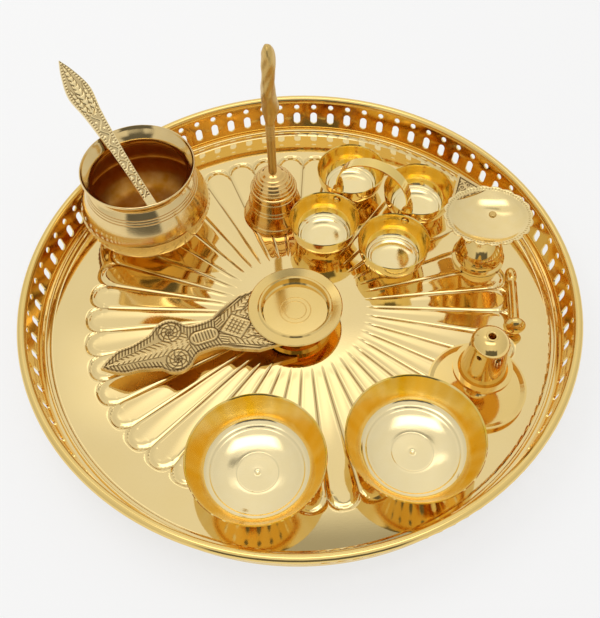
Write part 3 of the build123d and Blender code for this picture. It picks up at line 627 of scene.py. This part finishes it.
def handle_relief(x, y, edge):
    """Relief, 0 to 1: hatching, then leaves, lattice, oval and flowers, each inside its own cut."""
    side = np.abs(y)
    out = np.hypot(x, y)
    high = 0.8 * np.where(x < 44, cuts(0.55 * x + side, hatch, 0.42), cuts(x + 0.25 * side, hatch, 0.42))
    high = np.where((edge > 4.8) & (x > 64), 0.45, high)
    high = leaves(high, x, side, (39.0, 5.2), (20.0, 17.0), 4.4)
    high = leaves(high, x, side, (33.0, 6.6), (20.5, 7.0), 3.0) * cut_line(out - 23.0)
    diamond = np.abs(x - diamond_middle) / 8.0 + side / 7.0
    high = np.where(diamond < 1, 0.9 * cuts(x + y, 3.0) * cuts(x - y, 3.0), high)
    high = np.maximum(high, ridge(np.abs(diamond - 1) * diamond_scale, 0.8))
    high = high * cut_line((diamond - 1.22) * diamond_scale)
    oval = np.hypot(np.maximum(np.abs(x - oval_middle) - 3.6, 0), y)
    high = np.where(oval < oval_radius, 0.8 * cuts(x, hatch), high)
    high = np.maximum(high, ridge(np.abs(oval - oval_radius), 0.8)) * cut_line(oval - 4.5)
    high = leaves(high, x, side, (60.5, 1.6), (104.0, 0.0), 4.6)
    lobe = np.hypot(x - flower_at[0], side - flower_at[1])
    turn = np.arctan2(side - flower_at[1], x - flower_at[0])
    flower = cut_line(lobe * np.sin(4 * turn + 0.5 * lobe) / 4, 0.36)
    flower = flower * cut_line(lobe - 2.1) * cut_line(lobe - 4.3, 0.3)
    high = np.where(lobe < flower_radius, 0.95 * flower, high) * cut_line(lobe - 6.1)
    high = np.maximum(high, np.where(x > 60, ridge(side, 0.6), 0)) * cut_line(edge - 1.7)
    high = np.maximum(high, ridge(edge, 1.1))
    high = np.maximum(high, ridge(out - fan_arc, 1.2))
    return np.clip(high, 0, 1)


def dish_handle(columns=121, fan_rows=56, rows=300):
    """Plate outlined by its half-width along the axis: y = share x half-width, the fan's root on an arc."""
    share = crowded(columns)
    root_turn = share * np.arcsin(fan_half_width / fan_arc)
    root = np.stack((fan_arc * np.cos(root_turn), fan_arc * np.sin(root_turn)), axis=-1)
    along = np.linspace(fan_end, handle_tip, rows)
    half = np.interp(along, handle_edge[:, 0], handle_edge[:, 1])
    plate = np.empty((rows, columns, 2))
    plate[..., 0] = along[:, None]
    plate[..., 1] = share[None, :] * half[:, None]
    step = np.linspace(0, 1, fan_rows, endpoint=False)[:, None, None]
    fan = root[None] * (1 - step) + plate[:1] * step
    flat = np.concatenate((fan, plate))
    edge = (1 - np.abs(share))[None, :] * np.abs(flat[:, -1:, 1])
    high = handle_relief(flat[..., 0], flat[..., 1], edge)
    top = np.dstack((flat, handle_top - handle_relief_depth + handle_relief_depth * high))
    loop, dark = closed_plate(top, high, handle_top, handle_top - handle_sheet)
    loop[-1, :, :2] = loop[-1, :, :2].mean(axis=0)
    return swung(loop, handle_turn, dish_at), dark


points, dark = dish_handle()
skin_piece(
    "engraved_handle", points, "camphor_dish", engraved_brass, ["dish_handle"],
    cuts_and_painted_light=dark,
)

# %% [markdown]
# The ladle leans in the water pot with its leaf-shaped end out over the rim. It is drawn flat, along its
# own length, as a plate with leaf ornament and a small turned bowl, and then both are tipped and swung
# into place.

# %% Leaf-ended ladle
pot_at = np.array((-87.2, 62.8))
ladle_swing = radians(129.4)
ladle_tip = radians(37.8)
ladle_lip = (31.4, 52.75)
ladle_at_lip = 71.0
ladle_lift = 1.05
ladle_sheet = 2.0
ladle_relief_depth = 0.45
ladle_start = 14.0
ladle_end = 118.0
leaf_start = 84.0
vine_pitch = 9.0
ladle_edge = smooth_curve((
    (ladle_start, 2.8), (47.2, 2.9), (70.8, 4.0), (85.0, 5.2), (98.0, 7.0), (109.7, 3.9), (ladle_end, 0.05),
))


def lean(points):
    """Tips flat ladle points about the pot's lip and swings them round the pot's axis."""
    x = points[..., 0] - ladle_at_lip
    z = points[..., 2] + ladle_lift
    out = ladle_lip[0] + x * cos(ladle_tip) - z * sin(ladle_tip)
    high = ladle_lip[1] + x * sin(ladle_tip) + z * cos(ladle_tip)
    return swung(np.stack((out, points[..., 1], high), axis=-1), ladle_swing, pot_at)


def ladle_handle(columns=81, rows=520):
    """Plate of half-width w along x: leaflets fill the leaf, a waving vine with buds fills the stem."""
    share = crowded(columns)
    along = np.linspace(ladle_start, ladle_end, rows)
    half = np.interp(along, ladle_edge[:, 0], ladle_edge[:, 1])
    x = np.repeat(along[:, None], columns, axis=1)
    y = share[None, :] * half[:, None]
    edge = (1 - np.abs(share))[None, :] * half[:, None]
    side = np.abs(y)
    high = np.where(edge < 2.0, 0.8 * cuts(x, 1.6), 0.35)
    vine = ridge(np.abs(y - 1.5 * np.sin(2 * pi * x / vine_pitch)), 0.75)
    bud = ridge(np.hypot(x % vine_pitch - 6.7, y - 1.2), 1.3)
    bud = bud + ridge(np.hypot(x % vine_pitch - 2.2, y + 1.2), 1.3)
    high = np.where(x < leaf_start, np.maximum(high, np.maximum(vine, bud)), high)
    high = leaves(high, x, side, (leaf_start, 0.3), (115.0, 0.0), 3.2)
    high = leaves(high, x, side, (86.0, 2.6), (102.0, 4.4), 2.0)
    high = np.maximum(high, ridge(np.hypot(x - 99.0, y), 1.5))
    high = np.where(x < 30, 0.8, high)
    high = np.clip(np.maximum(high, ridge(edge, 0.7)), 0, 1)
    top = np.stack((x, y, ladle_sheet - ladle_relief_depth + ladle_relief_depth * high), axis=-1)
    loop, dark = closed_plate(top, high, ladle_sheet, 0)
    return lean(loop), dark


points, dark = ladle_handle()
skin_piece("ladle_leaf_handle", points, "ladle", engraved_ladle, ["ladle"], cuts_and_painted_light=dark)
ladle_bowl = np.concatenate((
    [(0, 0)], smooth_curve(((4.5, 0), (8.6, 2.0), (10.0, 4.5)), 10), [(9.5, 4.9)],
    smooth_curve(((9.0, 4.5), (7.8, 2.7), (3.6, 1.1)), 10), [(0, 1.0)],
))
bowl_points = turned(ladle_bowl, (10.0, 0.0), 64)
bowl_points[..., 2] -= deck / mm
skin_piece("ladle_bowl", lean(bowl_points), "ladle", cast_brass)

# %% [markdown]
# The water pot's upper half is spun: a sloping belly, fine lines cut round the shoulder, a tight neck and
# a wide lip. Its profile runs up the outside, over the lip and down the inside, and the lines are narrow
# dips of the outside. The inside of both halves is darker and browner than the polished lip: painted
# shade of the deep pot.

# %% Spun water pot
pot_wall = 1.2
pot_steps = 144
pot_inside_shade = 0.95
pot_line_levels = (40.6, 39.3, 37.8)
pot_line_depth = 0.25
pot_line_width = 0.2


def pot_upper():
    """Outside curve less three narrow dips, the rounded lip, and the same curve moved in by the wall."""
    outside = smooth_curve((
        (36.4, 24.5), (36.2, 26.6), (34.4, 31.4), (31.4, 37.8), (30.0, 40.6), (28.2, 43.4), (27.5, 45.4),
        (28.6, 48.4), (32.0, 52.3),
    ), 36)
    inside = outside[::-6] - (pot_wall, 0)
    lip = np.array(((31.9, 52.8), (31.6, 53.3), (31.3, 53.4), (31.0, 53.1)))
    dips = sum(np.exp(-(((outside[:, 1] - level) / pot_line_width) ** 2)) for level in pot_line_levels)
    ringed = outside - np.stack((pot_line_depth * dips, 0 * dips), axis=-1)
    profile = np.concatenate((ringed, lip, inside, outside[:1]))
    # Painted shade: the inside darkens below the lip, deeper into the pot.
    inside_shade = pot_inside_shade * (1 - fade(inside[:, 1], 38, 43))
    dark = np.concatenate((dips, np.zeros(len(lip)), inside_shade, [0]))
    return turned(profile, pot_at, pot_steps), np.repeat(dark[:, None], pot_steps, axis=1)


def pot_lower():
    """Foot ring, full lower belly, and an inside darkened with painted shade."""
    outside = smooth_curve(((17.6, 4.2), (27.0, 7.4), (33.2, 13.0), (35.2, 18.5), (35.5, 24.5)), 14)
    inside = smooth_curve(((34.3, 24.5), (34.0, 18.8), (31.9, 13.8), (25.6, 8.6), (14.0, 6.2)), 10)
    foot = [(0, 1.5), (17.0, 1.5), (17.0, 0), (20.0, 0), (20.0, 1.8)]
    profile = np.concatenate((foot, outside, inside, [(0, 6.2)]))
    # Painted shade over the whole inside of the lower half.
    dark = np.concatenate((np.zeros(len(foot) + len(outside)), np.full(len(inside) + 1, pot_inside_shade)))
    return turned(profile, pot_at, pot_steps), np.repeat(dark[:, None], pot_steps, axis=1)


points, dark = pot_lower()
skin_piece("spun_pot_lower", points, "water_pot", spun_lines_and_shade, ["pot_lower"], cuts_and_painted_light=dark)
points, dark = pot_upper()
skin_piece("spun_pot_upper", points, "water_pot", spun_lines_and_shade, ["pot_upper"], cuts_and_painted_light=dark)

# %% [markdown]
# Cups and offering bowls are pressed from one sheet: a dished floor with a rounded corner, a wall and a
# rolled edge. One profile serves all cups and one serves both bowls, which keep the lathe's centre mark.
# The walls carry a painted reflection, a deeper tone than the floors in soft streaks, and the outsides carry
# it too.

# %% Cups and offering bowls
cups_at = np.array((44.0, 61.05))
cups_turn = radians(-24.7)
cup_step = 21.3
cup_outside = smooth_curve(((12.4, 0), (15.6, 2.8), (18.4, 8.0), (19.7, 12.0), (20.35, 17.6)), 8)
cup_inside = np.concatenate((
    [(20.4, 18.2), (20.1, 18.6), (19.75, 18.2)],
    smooth_curve(((19.5, 17.4), (18.9, 12.0), (17.7, 7.8), (16.1, 5.0), (15.0, 4.0), (14.0, 3.7)), 8),
    [(13.7, 3.4), (13.3, 3.2)],
    smooth_curve(((12.9, 3.15), (11.2, 2.6), (8.6, 2.15), (4.4, 1.95), (0, 1.9)), 8),
))
bowl_outside = smooth_curve(((23.6, 0), (24.8, 2.4), (28.0, 8.6), (31.6, 15.0), (34.15, 19.6)), 8)
bowl_wall = (
    (33.1, 19.4), (30.9, 15.2), (28.6, 11.0), (27.3, 8.6), (26.3, 7.1), (25.0, 6.2), (23.6, 5.7),
)
bowl_inside = np.concatenate((
    [(34.3, 20.1), (34.0, 20.6), (33.5, 20.3)],
    smooth_curve(bowl_wall, 8),
    [(23.2, 5.2), (22.7, 4.9)],
    smooth_curve(((22.2, 4.8), (19.4, 3.8), (16.0, 2.95), (12.6, 2.4), (10.6, 2.2)), 8),
    smooth_curve(((10.2, 1.95), (9.6, 1.9), (4.0, 1.9), (1.6, 1.9), (0.8, 1.65), (0, 1.5)), 6),
))
# Share of painted reflection on the outsides of cups and bowls.
outside_reflection = 0.7


def pressed(outside, inside, at, steps, low, high):
    """Closed profile carried round, and its painted reflection: pale up to low, deep from high up, in soft
    streaks.
    """
    profile = np.concatenate(([(0, 0)], outside, inside))
    angle = np.arange(steps) * 2 * pi / steps
    # Painted reflection: soft streaks round the walls stand for reflected surroundings.
    streak = 0.80 + 0.11 * np.sin(4 * angle + 0.9) + 0.07 * np.sin(11 * angle + 2.0)
    streak = streak + 0.06 * np.sin(27 * angle)
    tone = np.concatenate((np.full(len(outside) + 1, outside_reflection), fade(inside[:, 1], low, high)))
    return turned(profile, at, steps), tone[:, None] * streak


for name, side, row in (
    ("cup_front_left", -1, -1), ("cup_front_right", 1, -1),
    ("cup_back_left", -1, 1), ("cup_back_right", 1, 1),
):
    middle = cups_at + cup_step * np.array((
        side * cos(cups_turn) - row * sin(cups_turn), side * sin(cups_turn) + row * cos(cups_turn),
    ))
    points, tone = pressed(cup_outside, cup_inside, middle, steps=112, low=3.6, high=7.0)
    skin_piece(name + "_pressed", points, "cup_holder", pressed_cup, [name], cuts_and_painted_light=tone)
for name, middle in (("bowl_left", (-22.8, -97.7)), ("bowl_right", (54.3, -89.2))):
    points, tone = pressed(bowl_outside, bowl_inside, middle, steps=160, low=6.4, high=10.0)
    node = "offering_" + name
    skin_piece(name + "_pressed", points, name, pressed_bowl, [node], cuts_and_painted_light=tone)

# %% [markdown]
# The oil lamp's bowl is a shallow oval leaf with a gently scalloped border, and a row of fine nicks
# inside it. Its rows run from the middle of the underside out to the border and back inside, and drift
# away from the foot's axis as they rise.

# %% Oil lamp bowl
lamp_at = np.array((104.8, 34.0))
lamp_half = np.array((23.2, 20.3))
lamp_shift = np.array((-0.6, -1.8))
lamp_low = 32.0
lamp_rise = 7.1
scallops = 20
scallop_reach = 1.2
nick_depth = 0.22
nick_tone = 0.85


def lamp_bowl(steps=480):
    """Oval rows: share of the full oval, height, and how far the scallops and the nicks act on each row."""
    outside = smooth_curve((
        (0.42, lamp_low, 0, 0), (0.72, 33.9, 0, 0), (0.90, 36.7, 0, 0), (0.955, 38.2, 0, 0),
    ), 8)
    border = np.array((
        (0.99, 38.2, 0.7, 0), (1.0, 38.3, 1, 0), (1.0, 38.7, 1, 0), (0.995, 38.95, 0.9, 0),
        (0.985, 39.1, 0.7, 0), (0.975, 39.05, 0.5, 0.3), (0.965, 38.95, 0.4, 1), (0.95, 38.75, 0.25, 1),
        (0.935, 38.5, 0.15, 1), (0.92, 38.3, 0.05, 0.3),
    ))
    inside = smooth_curve((
        (0.91, 38.1, 0, 0), (0.80, 36.6, 0, 0), (0.62, 34.95, 0, 0), (0.40, 33.7, 0, 0), (0.18, 33.15, 0, 0),
    ), 10)
    row = np.concatenate(([(0, lamp_low, 0, 0)], outside, border, inside, [(0, 33.0, 0, 0)]))
    turn = np.arange(steps) * 2 * pi / steps
    wave = np.abs(np.cos(0.5 * scallops * turn)) ** 0.8
    nick = 0.5 + 0.5 * np.cos(4 * scallops * turn)
    level = np.clip((row[:, 1:2] - lamp_low) / lamp_rise, 0, 1)
    points = np.empty((len(row), steps, 3))
    for axis, round_wave in ((0, np.cos(turn)), (1, np.sin(turn))):
        span = lamp_half[axis] * row[:, :1] + scallop_reach * row[:, 2:3] * wave
        points[..., axis] = lamp_at[axis] + level * lamp_shift[axis] + span * round_wave
    points[..., 2] = deck / mm + row[:, 1:2] - nick_depth * row[:, 3:] * nick
    return points, nick_tone * row[:, 3:] * nick


points, dark = lamp_bowl()
skin_piece(
    "scalloped_lamp_bowl", points, "oil_lamp", engraved_bright, ["lamp_bowl"], cuts_and_painted_light=dark,
)

# %% [markdown]
# The lamp's pointed tab is a small plate with a plain edge round leafy relief. It is wider on one side of
# its axis than on the other.

# %% Oil lamp tab
tab_turn = radians(110.6)
tab_start = 17.0
tab_end = 34.1
tab_point = 34.4
tab_taper = 21.4
tab_left = 17.0
tab_right = 10.5
tab_top = 38.2
tab_under = 36.8
tab_relief_depth = 0.3
tab_border = 2.2


def lamp_tab(columns=49, rows=120):
    """Plate with two straight edges that meet in a point: curls and veins inside a raised edge."""
    along = np.linspace(tab_start, tab_end, rows)[:, None]
    share = crowded(columns)[None, :]
    narrow = np.clip((tab_point - along) / tab_taper, 0, 1)
    left = tab_left * narrow
    right = tab_right * narrow
    x = along + 0 * share
    y = 0.5 * (left - right) + 0.5 * (left + right) * share
    edge = 0.42 * (left + right) * (1 - np.abs(share))
    middle = np.abs(y - 0.1 * (tab_point - x))
    vein = 0.5 + 0.5 * np.cos(2 * pi * (x + 1.2 * middle) / 2.1)
    curl = 0.5 + 0.5 * np.cos(2 * pi * np.hypot(x % 4.4 - 2.2, middle % 4.0 - 2.0) / 1.5)
    leafy = np.maximum(0.75 * curl, 0.8 * ridge(middle, 0.6))
    high = np.where(edge > tab_border, leafy, np.where(edge > 1.5, 0.0, 1.0))
    high = np.where((edge > tab_border) & (middle > 3.6), 0.8 * vein, high)
    top = np.stack((x, y, tab_top - tab_relief_depth + tab_relief_depth * high), axis=-1)
    loop, dark = closed_plate(top, high, tab_top, tab_under)
    return swung(loop, tab_turn, lamp_at + lamp_shift), dark


points, dark = lamp_tab()
skin_piece(
    "engraved_lamp_tab", points, "oil_lamp", engraved_brass, ["lamp_tab"], cuts_and_painted_light=dark,
)

# %% [markdown]
# The bell is turned: a light band round the mouth, double rings on the waist, a ring at the shoulder and
# a stepped dome. Rings are half rounds added to the outside curve.

# %% Bell body
bell_at = np.array((-13.2, 72.5))
bell_wall = 1.8
bell_rings = (
    (2.6, 0.35, 0.5), (11.0, 0.4, 0.5), (13.4, 0.4, 0.5), (19.4, 0.35, 0.45), (22.8, 0.8, 0.75),
    (25.6, 0.4, 0.4), (27.6, 0.4, 0.4), (29.6, 0.45, 0.4), (31.4, 0.45, 0.4), (33.0, 0.5, 0.4),
)


def bell_body():
    """Outside curve with half-round rings, each of a level, a height and a width, then the plain inside."""
    outside = smooth_curve((
        (19.0, 0.4), (18.1, 2.2), (16.1, 7.5), (14.7, 13.0), (13.6, 18.5), (12.9, 22.6), (11.9, 26.0),
        (9.4, 30.6), (5.2, 34.9),
    ), 34)
    swell = sum(
        rise * np.sqrt(np.clip(1 - ((outside[:, 1] - level) / wide) ** 2, 0, 1))
        for level, rise, wide in bell_rings
    )
    ringed = outside + np.stack((swell, 0 * swell), axis=-1)
    inside = outside[-48::-8] - (bell_wall, 0)
    mouth = [(17.3, 0.3), (18.2, 0.0), (18.8, 0.1)]
    profile = np.concatenate(([(0, 32.0), (3.0, 32.0)], inside, mouth, ringed, [(0, 35.4)]))
    return turned(profile, bell_at, 128)


skin_piece("turned_bell", bell_body(), "bell", bell_brass, ["bell_body"], sharp=50)

# %% [markdown]
# The bell's handle is a rod with a short twist below a cast finial, a flattened wavy form worn smooth,
# whose oval sections sway along the height.

# %% Bell handle
rod_radius = 2.45
rod_foot = 36.2
rod_top = 73.0
twist_pitch = 1.6
twist_depth = 0.05


def bell_handle(steps=96):
    """Ovals of half-widths across and deep round a middle that sways, with a twist and soft lumps."""
    thread = np.array(((0, 27.8), (1.6, 27.8), (1.6, 35.4), (rod_radius, 35.4), (rod_radius, rod_foot)))
    finial = smooth_curve((
        (rod_radius, rod_radius, rod_top, 0), (3.5, 3.6, 77.5, 0.4), (4.6, 5.4, 83.0, 0.9),
        (4.2, 6.2, 88.5, 0.5), (3.8, 6.7, 95.5, 0.0), (3.4, 6.5, 101.0, 0.2), (3.5, 6.0, 107.0, 0.8),
        (3.7, 5.2, 113.5, 1.3), (3.2, 4.2, 118.5, 1.2), (2.1, 2.7, 121.8, 1.0), (1.0, 1.3, 122.9, 0.9),
        (0.0, 0.0, 123.2, 0.9),
    ), 9)
    rod = np.zeros((160, 4))
    rod[:, :2] = rod_radius
    rod[:, 2] = np.linspace(rod_foot, rod_top, len(rod), endpoint=False)
    end = np.zeros((len(thread), 4))
    end[:, :2] = thread[:, :1]
    end[:, 2] = thread[:, 1]
    row = np.concatenate((end, rod, finial))
    turn = np.arange(steps) * 2 * pi / steps
    high = row[:, 2:3]
    lump = 0.05 * np.cos(3 * turn + 0.25 * high) + 0.03 * np.cos(5 * turn - 0.6 * high)
    lump = fade(high, 84, 94) * lump
    twist = twist_depth * fade(high, 60, 62) * (1 - fade(high, 71, rod_top))
    twist = twist * np.cos(turn + 2 * pi * high / twist_pitch)
    points = np.empty((len(row), steps, 3))
    points[..., 0] = bell_at[0] + row[:, 3:] + row[:, :1] * (1 + lump + twist) * np.cos(turn)
    points[..., 1] = bell_at[1] + row[:, 1:2] * (1 + lump + twist) * np.sin(turn)
    points[..., 2] = deck / mm + high
    return points


skin_piece("bell_handle_cast", bell_handle(), "bell", worn_brass, ["bell_handle"])
